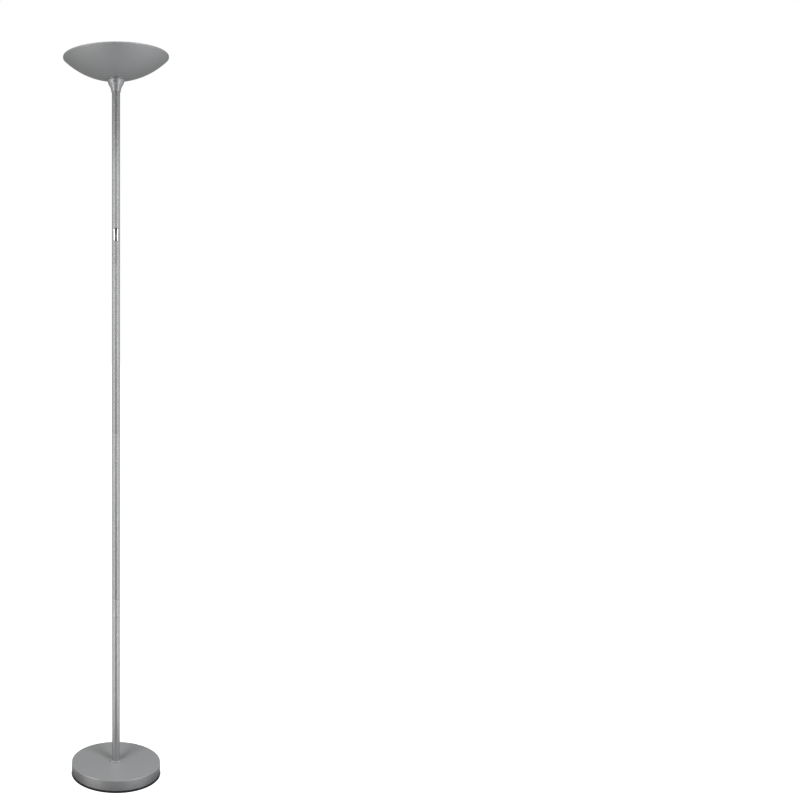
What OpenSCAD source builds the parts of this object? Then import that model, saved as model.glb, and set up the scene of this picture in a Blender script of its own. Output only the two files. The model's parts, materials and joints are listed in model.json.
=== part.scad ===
// Torchiere floor lamp: round weighted foot, four-piece pole with a rocker switch,
// bell-shaped neck and a shallow spun bowl that holds an LED light engine.
// Millimetres, +Z up, origin at the centre of the foot's underside, switch facing -Y.

/* [Overall] */
// Height from the floor to the top of the bowl's rim
lamp_h = 1800; // [1760:10:1900]
// Outer diameter of the bowl
bowl_d = 258.6; // [256:0.2:280]
// Outer diameter of the foot
foot_d = 227; // [215:1:250]
// Outer diameter of the pole
pole_d = 20; // [20:0.5:21]

/* [Foot] */
// Thickness of each felt pad
pad_t = 0.6; // [0.5:0.1:1]
// Number of felt pads
pad_count = 6; // [5:1:8]
// Height of the steel foot cover, from its lower edge to its top
cover_h = 26; // [24:0.5:28]
// Sheet thickness of the foot cover
cover_t = 1; // [0.8:0.1:1.2]
// Radius of the foot cover's top edge
cover_edge_r = 1.5; // [1.5:0.1:4]
// Thickness of the cast weight inside the foot
weight_t = 14; // [10:0.5:14]
// Diameter of the collar where the pole meets the foot
collar_d = 33; // [28:0.2:36]
// Height of the collar
collar_h = 3; // [3:0.5:5]

/* [Cord inlet] */
// Bore of the grommet, for a round mains lead
inlet_bore_r = 3.2; // [2.8:0.1:3.4]

/* [Pole] */
// Wall thickness of the pole tubes
pole_wall = 1; // [0.8:0.1:1.2]
// Length of the threaded bush pressed into each tube end
bush_l = 14; // [10:1:16]

/* [Switch] */
// Distance from the rim down to the rocker's pivot
switch_drop = 430; // [400:1:435]
// Width of the rocker
rocker_w = 10.6; // [10:0.1:10.8]
// Tilt of the rocker either side of its middle
rocker_tilt = 6; // [4:0.5:6]
// Tilt of the contact arm either side of its middle
arm_tilt = 5; // [3:0.5:5]

/* [Bowl] */
// Depth of the bowl below its rim band
bowl_depth = 51; // [51:0.5:54]
// Height of the hemmed band around the rim
rim_band_h = 3; // [2:0.5:4]
// Sheet thickness of the bowl
bowl_t = 1; // [0.8:0.1:1.2]

/* [Light engine] */
// Radius of the opal diffuser
diffuser_r = 113; // [110:0.5:113]
// Thickness of the opal diffuser
diffuser_t = 2.5; // [2:0.5:3]
// Radius of the LED board
board_r = 68; // [64:1:72]

/* [Hidden] */

$fn = 96;
curve_fn = 256;            // facets for large arcs in previews
cut = 0.5;                 // how far a cutting shape runs past the face it cuts

paint = [0.62, 0.63, 0.64];
zinc = [0.72, 0.73, 0.75];
brass = [0.80, 0.64, 0.30];
black = [0.08, 0.08, 0.09];
white = [0.93, 0.93, 0.92];

// Threads are plain cylinders at their outer diameter
thread_r = 4.95;           // M10 x 1 lamp thread
thread_bore_r = 3.4;       // wireway through a threaded nipple
tapped_r = 5;              // tapped hole that takes the thread
clear_r = 5.2;             // plain hole that the thread passes through
pole_r = pole_d / 2;
pole_bore_r = pole_r - pole_wall;

// Foot
foot_r = foot_d / 2;
plate_gap = 0.2;
cover_hem_r = 1.1;         // bead rolled along the cover's lower edge
plate_flange_r = foot_r - 0.4;
plate_flange_t = 3.4;
plate_spigot_r = foot_r - 2 * cover_hem_r - plate_gap;
bottom_plate_t = plate_flange_t + 0.4;
bottom_plate_top = pad_t + bottom_plate_t;
cover_bottom = pad_t + plate_flange_t;
cover_top = cover_bottom + cover_h;
cover_inner_r = foot_r - cover_t;
pad_r = 9;
pad_circle_r = foot_r - 15.5;
weight_r = cover_inner_r - 0.7;
weight_top = cover_top - cover_t;
weight_bottom = weight_top - weight_t;
groove_w = 15;
groove_h = 8;
groove_top = weight_bottom + groove_h;
pocket_y = 44;
pocket_top = groove_top + 2;
pocket_w = 28;
pocket_l = 26;
foot_washer_r = 15;
foot_washer_t = 1.2;
nut_across_flats = 14;
foot_nut_t = 4;
foot_nut_top = weight_bottom - foot_washer_t;
foot_nipple_bottom = foot_nut_top - foot_nut_t - 0.3;
plate_screw_count = 3;
plate_screw_circle_r = 70;
plate_screw_r = 1.6;
plate_screw_head_r = 3.2;
plate_screw_head_t = 1.1;
plate_screw_bite = 8;
plate_recess_t = 1.2;
weight_leg_r = 6;
collar_edge_r = 0.8;
collar_top = cover_top + collar_h;
collar_seat_z = cover_top + 1.5;
collar_seat_r = pole_r + 0.1;

// Cord inlet
inlet_z = weight_bottom;
inlet_hole_r = 4.7;
inlet_flange_r = 6.2;
inlet_flange_t = 1.6;
inlet_outside = foot_r + inlet_flange_t;
inlet_inside = cover_inner_r - inlet_flange_t - 0.7;
inlet_neck_gap = 0.05;
terminal_l = 20;
terminal_w = 17;
terminal_h = 9;
terminal_pitch = 8;
terminal_bore_r = 1.6;
terminal_sleeve_t = 0.65;
terminal_y = pocket_y + (pocket_l - terminal_l) / 2;
terminal_z = weight_bottom + terminal_h / 2;
terminal_screw_ends = [0.3, 0.7];

// Pole
tube_count = 4;
rim_z = lamp_h;
band_bottom = rim_z - rim_band_h;
bowl_bottom = band_bottom - bowl_depth;
seat_step = 0.6;
gasket_t = 1;
neck_h = 28.7;
neck_top = bowl_bottom - seat_step - gasket_t;
neck_bottom = neck_top - neck_h;
neck_seat_z = neck_bottom + 5.3;
tube_start = collar_seat_z;
tube_end = neck_seat_z;
seam_z = [for (i = [0 : tube_count]) tube_start + (tube_end - tube_start) * i / tube_count];
bush_r = pole_bore_r - 0.05;
bush_inset = 0.2;
joint_nipple_l = 26;
tube_chamfer = 0.3;

// Switch, measured from the pole's axis; the pivot is a line along X
switch_z = rim_z - switch_drop;
pivot_y = -6.2;
rocker_end_r = 14.7;
rocker_back = 2;
rocker_face = 4.3;
rocker_v = rocker_tilt;
rocker_crown_r = 9;
trunnion_r = 1.2;
trunnion_reach = 5.85;
plunger_bore_r = 1.45;
plunger_bore_front = -2.6;
plunger_r = 1.3;
plunger_tip = 6.25;
plunger_tail = 0.8;
housing_half_w = 5.95;
housing_half_h = 15.2;
housing_back = 3.9;
housing_rim_r = pole_r + 0.45;
cavity_half_w = rocker_w / 2 + 0.15;
cavity_end_r = rocker_end_r + 0.15;
cavity_back = 2.6;
cutout_half_w = housing_half_w + 0.1;
cutout_half_h = housing_half_h + 0.1;
arm_y = pivot_y + 6.9;
arm_t = 0.5;
arm_half_w = 1.6;
arm_half_l = 7;
arm_rib_r = 0.4;
arm_groove_r = 0.45;
contact_z = 6;
contact_r = 1;
contact_t = 0.5;
tag_end = 8.2;
tag_t = 0.8;
tag_w = 2.8;
centre_post_y = arm_y + 0.15;
centre_post_half_h = 1.2;
live_post_y = arm_y + 1.16;
live_post_half_h = 1.3;
post_half_w = 1.4;
slot_gap = 0.05;
spring_wire_r = 0.15;
spring_coil_r = 1;
spring_turns = 6;
spring_steps = 12;

// Neck: radii and heights of the bell's outline, from its top to its bottom lip
neck_flare = [[21.9, neck_h], [20.6, 26.6], [20, 24.9], [19.65, 22.7]];
neck_shoulder = [[19.65, 22.7], [19.3, 20.5], [17.9, 18], [16, 15.1]];
neck_waist = [[16, 15.1], [13.9, 11.8], [11.9, 6.8], [11.6, 1]];
neck_lip_r = 1;
neck_wall = 2;
neck_boss_r = 7.5;
neck_floor = 9.5;
gasket_r = 21;

// Bowl: part of a sphere below a short upright band
bowl_r = bowl_d / 2;
bowl_sphere_r = (bowl_r * bowl_r + bowl_depth * bowl_depth) / (2 * bowl_depth);
bowl_centre_z = bowl_bottom + bowl_sphere_r;
bowl_inner_r = bowl_sphere_r - bowl_t;
seat_r = 22.3;
seat_bottom = neck_top + gasket_t;
rim_hem_t = 2.2;
neck_washer_r = 10.5;
neck_washer_t = 1;
neck_washer_z = bowl_centre_z - bowl_inner_r + 0.4;
neck_nut_t = 4.5;
neck_nipple_top = neck_washer_z + neck_washer_t + neck_nut_t + 2;

// Light engine
diffuser_top = rim_z - 11;
diffuser_bottom = diffuser_top - diffuser_t;
ring_bottom = diffuser_bottom - 2;
ring_lip_r = diffuser_r - 7;
ring_gap = 0.3;
heat_plate_r = 92;
heat_plate_t = 1.5;
heat_plate_z = rim_z - 26;
board_z = heat_plate_z + heat_plate_t;
board_t = 1.2;
chip_z = board_z + board_t;
chip_w = 2.8;
chip_l = 3.5;
chip_t = 0.7;
chip_rings = [[20, 8], [36, 16], [52, 24]];
pillar_circle_r = 60;
pillar_count = 3;
pillar_r = 3.5;
pillar_hole_l = 8;
pan_screw_bite = 6;
plate_hole_r = 2.1;
pan_head_r = 3.6;
pan_head_t = 2.2;
lead_hole_y = 28;
lead_hole_r = 3.5;
driver_l = 84;
driver_w = 42;
driver_h = 15;
driver_ear_l = 8;
driver_ear_w = 10;
driver_ear_t = 2;
driver_screw_x = driver_l / 2 + 4;
driver_screw_r = 1.5;
driver_head_r = 2.9;
driver_head_t = 1.8;

// Wires: each route is a row of points inside the foot, the pole and the bowl
wire_r = 0.9;
lead_r = 0.7;
wire_x = 1.5;
block_x = terminal_pitch / 2;
floor_z = (bottom_plate_top + foot_nipple_bottom) / 2;
last_bush_z = seam_z[tube_count - 1] + bush_l;
behind_y = 7.2;
behind_low = switch_z - housing_half_h - 3;
behind_high = switch_z + housing_half_h + 3;
driver_face = driver_w / 2 + 0.3;
driver_bottom = heat_plate_z - driver_h;
above_nut = (neck_nipple_top + driver_bottom) / 2;

// From the terminal block to the foot of the pole, on one side
function foot_route(side) = [
    [side * block_x, terminal_y + 4, terminal_z], [side * block_x, terminal_y - 2, terminal_z],
    [side * block_x, terminal_y - 8, terminal_z - 2], [side * 3.4, 30, floor_z + 4],
    [side * 3, 20, floor_z + 1], [side * 2, 8, floor_z], [side * wire_x, 2, floor_z + 0.3],
    [side * wire_x, 0.3, floor_z + 3.5], [side * wire_x, 0, tube_start]
];
// Up the pole, then back behind the switch at a given X
function to_switch(side, x) = [
    [side * wire_x, 0, last_bush_z], [side * wire_x, 1, last_bush_z + 4],
    [x, behind_y - 2, behind_low - 5], [x, behind_y, behind_low]
];
// From behind the switch at a given X, up to the driver
function to_driver(side, x) = [
    [x, behind_y, behind_high], [x, behind_y - 2, behind_high + 5],
    [side * wire_x, 1, behind_high + 24], [side * wire_x, 0, behind_high + 32],
    [side * wire_x, 0, neck_nipple_top - 3], [side * wire_x, -0.8, neck_nipple_top + 0.2],
    [side * 1.7, -2.6, above_nut], [side * 2, -5, above_nut], [side * 3, -14, above_nut],
    [side * 4, -driver_face, above_nut + 0.3], [side * 4.4, -driver_face - 3, above_nut + 2.6],
    [side * 4.4, -driver_face - 2.6, above_nut + 6.2], [side * 4.4, -driver_face, above_nut + 7.4]
];
neutral_x = -2.6;
live_x = 1.3;
neutral_route = concat(foot_route(-1), to_switch(-1, neutral_x), to_driver(-1, neutral_x));
live_lower_route =
    concat(foot_route(1), to_switch(1, live_x), [[live_x, behind_y, switch_z - 0.7]]);
live_upper_route = concat([[live_x, behind_y, switch_z + contact_z + 0.7]], to_driver(1, live_x));
led_lead_route = [
    [0, driver_face, driver_bottom + 7], [0, 25.5, driver_bottom + 7.4], [0, 27.6, driver_bottom + 10],
    [0, lead_hole_y, heat_plate_z], [0, lead_hole_y, chip_z + 1], [0, 29, chip_z + 2.8],
    [0, 31.4, chip_z + 3], [0, 33, chip_z + 1.8], [0, 33.4, chip_z + 0.4]
];
led_lead_spacing = 2.4;

// ---------------------------------------------------------------- shared shapes

function bezier(p, t) =
    pow(1 - t, 3) * p[0] + 3 * pow(1 - t, 2) * t * p[1] + 3 * (1 - t) * t * t * p[2] + pow(t, 3) * p[3];

function curve(p, steps = 8) = [for (i = [1 : steps]) bezier(p, i / steps)];

// Points on an arc about a centre, between two angles
function arc(centre, r, start, end, steps = 12) =
    [for (i = [0 : steps]) let (a = start + (end - start) * i / steps) centre + r * [cos(a), sin(a)]];

function unit(v) = v / norm(v);

// A ring of points around one place of a route, square to the route there
function sweep_ring(route, i, r, sides) =
    let (
        last = len(route) - 1,
        along = unit(route[min(i + 1, last)] - route[max(i - 1, 0)]),
        side = unit(cross(along, abs(along[0]) > 0.9 ? [0, 0, 1] : [1, 0, 0])),
        up = cross(along, side)
    )
    [for (k = [0 : sides - 1]) route[i] + r * (cos(360 * k / sides) * side + sin(360 * k / sides) * up)];

// A round wire along a route, as one closed solid
module sweep(route, r, sides = 8) {
    n = len(route);
    points = [for (i = [0 : n - 1]) each sweep_ring(route, i, r, sides)];
    walls = [
        for (i = [0 : n - 2]) for (k = [0 : sides - 1])
            let (a = i * sides + k, b = i * sides + (k + 1) % sides)
            each [[a, b, b + sides], [a, b + sides, a + sides]]
    ];
    start_cap = [for (k = [1 : sides - 2]) [0, k + 1, k]];
    end_cap = [for (k = [1 : sides - 2]) [(n - 1) * sides, (n - 1) * sides + k, (n - 1) * sides + k + 1]];
    polyhedron(points = points, faces = concat(walls, start_cap, end_cap), convexity = 10);
}

// A tube between two heights on the Z axis
module pipe(r, bore_r, z0, z1) {
    translate([0, 0, z0])
        difference() {
            cylinder(r = r, h = z1 - z0);
            translate([0, 0, -cut]) cylinder(r = bore_r, h = z1 - z0 + 2 * cut);
        }
}

// A hex nut with its underside at z
module hex_nut(across_flats, bore_r, t, z) {
    translate([0, 0, z])
        difference() {
            cylinder(r = across_flats / 2 / cos(30), h = t, $fn = 6);
            translate([0, 0, -cut]) cylinder(r = bore_r, h = t + 2 * cut);
        }
}

// Copies of one shape at even steps around a circle
module around(count, radius, start = 0) {
    for (i = [0 : count - 1])
        rotate([0, 0, start + 360 * i / count]) translate([radius, 0, 0]) children();
}

// Outline of a disc whose upper edge is rounded, for rotate_extrude
module rounded_disc(r, z0, z1, edge) {
    translate([0, z0]) square([r, z1 - z0 - edge]);
    translate([0, z0]) square([r - edge, z1 - z0]);
    translate([r - edge, z1 - edge]) circle(r = edge);
}

// ---------------------------------------------------------------- foot

module foot_pads() {
    color([0.12, 0.12, 0.12])
        around(pad_count, pad_circle_r, 30) cylinder(r = pad_r, h = pad_t);
}

module foot_bottom_plate() {
    color(black)
        difference() {
            rotate_extrude($fn = curve_fn) {
                rounded_disc(plate_flange_r, pad_t, cover_bottom, 0.3);
                translate([0, pad_t]) square([plate_spigot_r, bottom_plate_t]);
            }
            around(plate_screw_count, plate_screw_circle_r) translate([0, 0, pad_t - cut]) {
                cylinder(r = plate_screw_r + 0.1, h = bottom_plate_t + 2 * cut);
                cylinder(r = plate_screw_head_r + 0.1, h = plate_recess_t + cut);
            }
        }
}

module bottom_plate_screws() {
    color(zinc)
        around(plate_screw_count, plate_screw_circle_r) translate([0, 0, pad_t]) {
            cylinder(r = plate_screw_head_r, h = plate_screw_head_t);
            cylinder(r = plate_screw_r, h = bottom_plate_t + plate_screw_bite);
        }
}

// Section of the cover: top, rounded edge, wall and the bead rolled along its lower edge
module cover_section() {
    inner_edge_r = cover_edge_r - cover_t;
    polygon(concat(
        [[clear_r, weight_top], [clear_r, cover_top]],
        arc([foot_r - cover_edge_r, cover_top - cover_edge_r], cover_edge_r, 90, 0),
        arc([foot_r - cover_hem_r, cover_bottom + cover_hem_r], cover_hem_r, 0, -180),
        [[cover_inner_r, cover_bottom + 2.5 * cover_hem_r]],
        arc([cover_inner_r - inner_edge_r, weight_top - inner_edge_r], inner_edge_r, 0, 90)
    ));
}

module foot_cover() {
    color(paint)
        difference() {
            rotate_extrude($fn = curve_fn) cover_section();
            translate([0, foot_r + cut, inlet_z])
                rotate([90, 0, 0]) cylinder(r = inlet_hole_r, h = cover_t + 6);
        }
}

module foot_weight() {
    color([0.25, 0.25, 0.26])
        difference() {
            union() {
                rotate_extrude($fn = curve_fn)
                    rounded_disc(weight_r, weight_bottom, weight_top, cover_edge_r);
                around(plate_screw_count, plate_screw_circle_r)
                    translate([0, 0, bottom_plate_top])
                        cylinder(r = weight_leg_r, h = weight_bottom - bottom_plate_top + 1);
            }
            translate([0, 0, weight_bottom - cut]) cylinder(r = clear_r + 0.1, h = weight_t + 2 * cut);
            translate([-groove_w / 2, foot_washer_r + 4, weight_bottom - cut])
                cube([groove_w, weight_r, groove_h + cut]);
            translate([-pocket_w / 2, pocket_y, weight_bottom - cut])
                cube([pocket_w, pocket_l, pocket_top - weight_bottom + cut]);
            around(plate_screw_count, plate_screw_circle_r)
                translate([0, 0, bottom_plate_top - cut])
                    cylinder(r = plate_screw_r + 0.05, h = plate_screw_bite + 1);
        }
}

module foot_washer() {
    color(zinc) pipe(foot_washer_r, clear_r, foot_nut_top, weight_bottom);
}

module foot_nut() {
    color(zinc) hex_nut(nut_across_flats, tapped_r, foot_nut_t, foot_nut_top - foot_nut_t);
}

module foot_nipple() {
    color(zinc) pipe(thread_r, thread_bore_r, foot_nipple_bottom, tube_start + bush_l - 1);
}

module foot_collar() {
    color(paint)
        rotate_extrude()
            difference() {
                rounded_disc(collar_d / 2, cover_top, collar_top, collar_edge_r);
                translate([0, collar_seat_z]) square([collar_seat_r, collar_h]);
                square([clear_r, 2 * cover_top]);
            }
}

module cord_grommet() {
    inner_flange = inlet_outside - inlet_inside - inlet_flange_t;
    color(black)
        translate([0, inlet_outside, inlet_z]) rotate([90, 0, 0])
            difference() {
                union() {
                    cylinder(r = inlet_flange_r, h = inlet_flange_t - inlet_neck_gap);
                    cylinder(r = inlet_hole_r - inlet_neck_gap, h = inner_flange + 0.1);
                    translate([0, 0, inner_flange]) cylinder(r = inlet_flange_r - 0.6, h = inlet_flange_t);
                }
                translate([0, 0, -cut]) cylinder(r = inlet_bore_r, h = 2 * (inner_flange + inlet_flange_t));
            }
}

module terminal_block() {
    color(white)
        difference() {
            translate([-terminal_w / 2, terminal_y, weight_bottom])
                cube([terminal_w, terminal_l, terminal_h]);
            for (side = [-1, 1]) {
                translate([side * block_x, terminal_y - cut, terminal_z])
                    rotate([-90, 0, 0])
                        cylinder(r = terminal_bore_r + terminal_sleeve_t + 0.05, h = terminal_l + 2 * cut);
                for (end = terminal_screw_ends)
                    translate([side * block_x, terminal_y + end * terminal_l, weight_bottom - cut])
                        cylinder(r = terminal_bore_r, h = terminal_h / 2);
            }
        }
}

module terminal_inserts() {
    color(brass)
        for (side = [-1, 1])
            translate([side * block_x, terminal_y + 2, terminal_z])
                rotate([-90, 0, 0])
                    difference() {
                        cylinder(r = terminal_bore_r + terminal_sleeve_t, h = terminal_l - 4);
                        translate([0, 0, -cut]) cylinder(r = terminal_bore_r, h = terminal_l);
                    }
}

// ---------------------------------------------------------------- pole

module pole_tube(i) {
    z0 = seam_z[i];
    z1 = seam_z[i + 1];
    color(paint)
        rotate_extrude()
            polygon([
                [pole_bore_r, z0], [pole_r - tube_chamfer, z0], [pole_r, z0 + tube_chamfer],
                [pole_r, z1 - tube_chamfer], [pole_r - tube_chamfer, z1], [pole_bore_r, z1]
            ]);
}

module switch_tube() {
    color(paint)
        difference() {
            pole_tube(tube_count - 1);
            translate([-cutout_half_w, -pole_r - cut, switch_z - cutout_half_h])
                cube([2 * cutout_half_w, pole_r + cut, 2 * cutout_half_h]);
        }
}

module tube_bushes() {
    color(zinc)
        for (i = [0 : tube_count - 1]) {
            pipe(bush_r, tapped_r, seam_z[i] + bush_inset, seam_z[i] + bush_inset + bush_l);
            pipe(bush_r, tapped_r, seam_z[i + 1] - bush_inset - bush_l, seam_z[i + 1] - bush_inset);
        }
}

module joint_nipples() {
    color(zinc)
        for (i = [1 : tube_count - 1])
            pipe(thread_r, thread_bore_r, seam_z[i] - joint_nipple_l / 2, seam_z[i] + joint_nipple_l / 2);
}

// ---------------------------------------------------------------- switch

// Puts a shape drawn around the rocker's pivot in place, turned to the side on which the lamp is lit
module at_rocker(tilt = rocker_tilt) {
    translate([0, pivot_y, switch_z]) rotate([tilt, 0, 0]) children();
}

// Extrudes an outline in the Y-Z plane by a width along X, centred
module across_x(width) {
    rotate([90, 0, 90]) linear_extrude(height = width, center = true) children();
}

module switch_housing() {
    color(black)
        difference() {
            intersection() {
                translate([-housing_half_w, -pole_r - 1, switch_z - housing_half_h])
                    cube([2 * housing_half_w, pole_r + 1 + housing_back, 2 * housing_half_h]);
                translate([0, 0, switch_z - housing_half_h - cut])
                    cylinder(r = housing_rim_r, h = 2 * (housing_half_h + cut));
            }
            intersection() {
                translate([-cavity_half_w, -pole_r - 2, switch_z - rocker_end_r - 1])
                    cube([2 * cavity_half_w, pole_r + 2 + cavity_back, 2 * rocker_end_r + 2]);
                at_rocker(0) rotate([0, 90, 0])
                    cylinder(r = cavity_end_r, h = 4 * housing_half_w, center = true);
            }
            at_rocker(0) rotate([0, 90, 0])
                cylinder(r = trunnion_r + 0.05, h = 4 * housing_half_w, center = true);
            for (z = [0, contact_z])
                translate([-tag_w / 2 - slot_gap, cavity_back - cut, switch_z + z - tag_t / 2 - slot_gap])
                    cube([tag_w + 2 * slot_gap, 3, tag_t + 2 * slot_gap]);
        }
}

// One half of the rocker: its flat side outline, crowned across its width
module rocker_half(end) {
    reach = rocker_end_r + 1;
    crown_y = -rocker_face * cos(rocker_v) + rocker_crown_r;
    intersection() {
        across_x(rocker_w)
            intersection() {
                circle(r = rocker_end_r, $fn = curve_fn);
                polygon([
                    [-rocker_face, 0], [-rocker_face - reach * tan(rocker_v), end * reach],
                    [rocker_back, end * reach], [rocker_back, 0]
                ]);
            }
        rotate([end * rocker_v, 0, 0])
            translate([0, crown_y, 0]) cylinder(r = rocker_crown_r, h = 4 * rocker_end_r, center = true);
    }
}

module switch_rocker() {
    color([0.9, 0.9, 0.92])
        at_rocker()
            difference() {
                union() {
                    rocker_half(1);
                    rocker_half(-1);
                    rotate([0, 90, 0]) cylinder(r = trunnion_r, h = 2 * trunnion_reach, center = true);
                }
                translate([0, plunger_bore_front, 0])
                    rotate([-90, 0, 0]) cylinder(r = plunger_bore_r, h = rocker_end_r);
            }
}

module switch_plunger() {
    color(zinc)
        at_rocker() {
            translate([0, plunger_tail, 0])
                rotate([-90, 0, 0]) cylinder(r = plunger_r, h = plunger_tip - plunger_r - plunger_tail);
            translate([0, plunger_tip - plunger_r, 0]) sphere(r = plunger_r);
        }
}

module switch_spring() {
    length = plunger_tail - plunger_bore_front - 4 * spring_wire_r;
    steps = spring_turns * spring_steps;
    helix = [
        for (i = [0 : steps])
            let (a = 360 * i / spring_steps)
            [
                spring_coil_r * cos(a),
                plunger_bore_front + 2 * spring_wire_r + length * i / steps,
                spring_coil_r * sin(a)
            ]
    ];
    color(zinc) at_rocker() sweep(helix, spring_wire_r, 6);
}

module switch_contact_arm() {
    color(brass)
        translate([0, arm_y, switch_z]) rotate([-arm_tilt, 0, 0]) {
            translate([-arm_half_w, -arm_t, -arm_half_l]) cube([2 * arm_half_w, arm_t, 2 * arm_half_l]);
            rotate([0, 90, 0]) cylinder(r = arm_rib_r, h = 2 * arm_half_w, center = true);
            for (end = [-1, 1])
                translate([0, -cut / 2, end * contact_z])
                    rotate([-90, 0, 0]) cylinder(r = contact_r, h = contact_t + cut / 2);
        }
}

// A terminal: a contact post inside the housing and a solder tag through its back
module terminal(z, post_y, post_half_h) {
    translate([-post_half_w, post_y, z - post_half_h])
        cube([2 * post_half_w, cavity_back - post_y, 2 * post_half_h]);
    translate([-tag_w / 2, cavity_back - 0.2, z - tag_t / 2])
        cube([tag_w, tag_end - cavity_back + 0.2, tag_t]);
}

module switch_terminals() {
    color(brass) {
        difference() {
            terminal(switch_z, centre_post_y, centre_post_half_h);
            translate([0, arm_y, switch_z])
                rotate([0, 90, 0]) cylinder(r = arm_groove_r, h = 4 * arm_half_w, center = true);
        }
        terminal(switch_z + contact_z, live_post_y, live_post_half_h);
    }
}

// ---------------------------------------------------------------- wires

module neutral_wire() {
    color([0.15, 0.35, 0.75]) sweep(neutral_route, wire_r);
}

module live_wire_lower() {
    color([0.4, 0.22, 0.12]) sweep(live_lower_route, wire_r);
}

module live_wire_upper() {
    color([0.4, 0.22, 0.12]) sweep(live_upper_route, wire_r);
}

module led_leads() {
    color([0.75, 0.1, 0.1])
        for (side = [-1, 1])
            translate([side * led_lead_spacing / 2, 0, 0]) sweep(led_lead_route, lead_r);
}

// ---------------------------------------------------------------- neck

module neck_outline() {
    lip_centre = [neck_waist[3][0] - neck_lip_r, neck_lip_r];
    outer = concat([neck_flare[0]], curve(neck_flare), curve(neck_shoulder), curve(neck_waist));
    lip = arc(lip_centre, neck_lip_r, -15, -90, 5);
    polygon(concat([[0, neck_flare[0][1]]], outer, lip, [[0, 0]]));
}

// The hollow between the neck's skin and its central boss, open at the top
module neck_hollow() {
    skin = concat(curve(neck_flare), curve(neck_shoulder), curve(neck_waist));
    inside = [for (p = skin) if (p[1] > neck_floor) [p[0] - neck_wall, p[1]]];
    top = [neck_flare[0][0] - neck_wall, neck_flare[0][1] + cut];
    foot = [inside[len(inside) - 1][0], neck_floor];
    polygon(concat([[neck_boss_r, top[1]], top], inside, [foot, [neck_boss_r, neck_floor]]));
}

module neck_cup() {
    color(paint)
        translate([0, 0, neck_bottom])
            rotate_extrude()
                difference() {
                    neck_outline();
                    neck_hollow();
                    translate([0, -cut]) square([collar_seat_r, neck_seat_z - neck_bottom + cut]);
                    square([clear_r, 2 * (neck_top - neck_bottom)]);
                }
}

module neck_gasket() {
    color(black) pipe(gasket_r, clear_r, neck_top, seat_bottom);
}

module neck_nipple() {
    color(zinc) pipe(thread_r, thread_bore_r, tube_end - bush_l + 1, neck_nipple_top);
}

module neck_washer() {
    color(zinc) pipe(neck_washer_r, clear_r, neck_washer_z, neck_washer_z + neck_washer_t);
}

module neck_nut() {
    color(zinc) hex_nut(nut_across_flats, tapped_r, neck_nut_t, neck_washer_z + neck_washer_t);
}

// ---------------------------------------------------------------- bowl

// Region inside the bowl's inner sphere, for shapes that follow its wall
module inside_bowl(gap = 0) {
    translate([0, 0, bowl_centre_z]) sphere(r = bowl_inner_r - gap, $fn = curve_fn);
}

module shade_bowl() {
    hem = rim_hem_t / 2;
    color(paint)
        rotate_extrude($fn = curve_fn)
            difference() {
                union() {
                    intersection() {
                        difference() {
                            translate([0, bowl_centre_z]) circle(r = bowl_sphere_r, $fn = 2 * curve_fn);
                            translate([0, bowl_centre_z]) circle(r = bowl_inner_r, $fn = 2 * curve_fn);
                        }
                        translate([0, bowl_bottom - 1]) square([bowl_r, band_bottom - bowl_bottom + 1]);
                    }
                    translate([0, seat_bottom]) square([seat_r, bowl_bottom + 1.4 - seat_bottom]);
                    translate([bowl_r - rim_hem_t, band_bottom - 0.3])
                        square([rim_hem_t, rim_band_h + 0.3 - hem]);
                    translate([bowl_r - hem, rim_z - hem]) circle(r = hem);
                }
                square([clear_r, 2 * lamp_h]);
                translate([0, bowl_centre_z]) circle(r = bowl_inner_r - 1.5, $fn = 2 * curve_fn);
            }
}

// ---------------------------------------------------------------- light engine

module plate_pillars() {
    color(zinc)
        intersection() {
            around(pillar_count, pillar_circle_r, 90)
                translate([0, 0, bowl_bottom])
                    difference() {
                        cylinder(r = pillar_r, h = heat_plate_z - bowl_bottom);
                        translate([0, 0, heat_plate_z - bowl_bottom - pillar_hole_l])
                            cylinder(r = plate_screw_r + 0.1, h = pillar_hole_l + cut);
                    }
            inside_bowl(0.1);
        }
}

module lead_hole() {
    translate([0, lead_hole_y, heat_plate_z - cut])
        cylinder(r = lead_hole_r, h = chip_z - heat_plate_z + 2 * cut);
}

module heat_plate() {
    color([0.82, 0.83, 0.84])
        difference() {
            translate([0, 0, heat_plate_z]) cylinder(r = heat_plate_r, h = heat_plate_t, $fn = curve_fn);
            around(pillar_count, pillar_circle_r, 90)
                translate([0, 0, heat_plate_z - cut])
                    cylinder(r = plate_hole_r, h = heat_plate_t + 2 * cut);
            for (side = [-1, 1])
                translate([side * driver_screw_x, 0, heat_plate_z - cut])
                    cylinder(r = driver_screw_r + 0.1, h = heat_plate_t + 2 * cut);
            lead_hole();
        }
}

module plate_screws() {
    color(zinc)
        around(pillar_count, pillar_circle_r, 90) {
            translate([0, 0, chip_z]) cylinder(r = pan_head_r, h = pan_head_t);
            translate([0, 0, heat_plate_z - pan_screw_bite])
                cylinder(r = plate_screw_r, h = chip_z - heat_plate_z + pan_screw_bite + 0.5);
        }
}

module led_board() {
    color(white)
        difference() {
            translate([0, 0, board_z]) cylinder(r = board_r, h = board_t, $fn = curve_fn);
            around(pillar_count, pillar_circle_r, 90)
                translate([0, 0, board_z - cut]) cylinder(r = plate_hole_r, h = board_t + 2 * cut);
            lead_hole();
        }
}

module led_chips() {
    color([0.95, 0.85, 0.35])
        for (ring = chip_rings)
            around(ring[1], ring[0], 180 / ring[1])
                translate([-chip_w / 2, -chip_l / 2, chip_z]) cube([chip_w, chip_l, chip_t]);
}

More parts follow.
